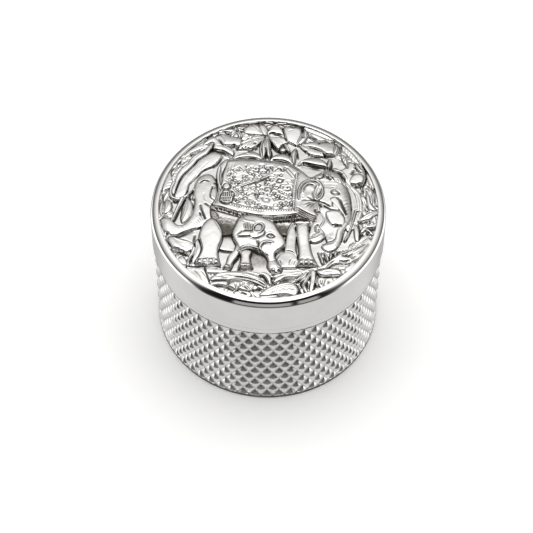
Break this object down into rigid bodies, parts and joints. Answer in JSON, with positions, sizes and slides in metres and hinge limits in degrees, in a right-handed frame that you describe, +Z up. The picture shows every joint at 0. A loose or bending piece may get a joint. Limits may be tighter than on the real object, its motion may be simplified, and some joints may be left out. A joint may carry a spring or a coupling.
{
  "type": "kumkum box",
  "caption": "Small round silver kumkum box with a diamond-knurled body and a smooth slip-on lid whose top is struck with elephants among leaves.",
  "frame": {"origin": "centre of the base plate's underside", "axes": "+Z up along the box's axis, the lid's picture upright when seen from -Y, +X to the right in that view"},
  "size_m": [0.0446, 0.0446, 0.0343],
  "materials": {
    "silver_polished": "polished silver",
    "silver_knurled": "polished silver, knurled",
    "silver_oxidised": "polished silver, darkened in the hollows of the relief",
    "silver_satin": "turned silver, satin"
  },
  "bodies": {
    "box": {"base_plate": "silver_polished", "knurled_sleeve": "silver_knurled", "shoulder_ring": "silver_polished", "inner_sleeve": "silver_satin"},
    "lid": {"lid_band": "silver_polished", "relief_plate": "silver_oxidised", "lid_backing": "silver_satin"}
  },
  "joints": [
    {"name": "lid_lift", "type": "slide", "parent": "box", "child": "lid", "axis": [0, 0, 1], "range_m": [0, 0.03]}
  ]
}
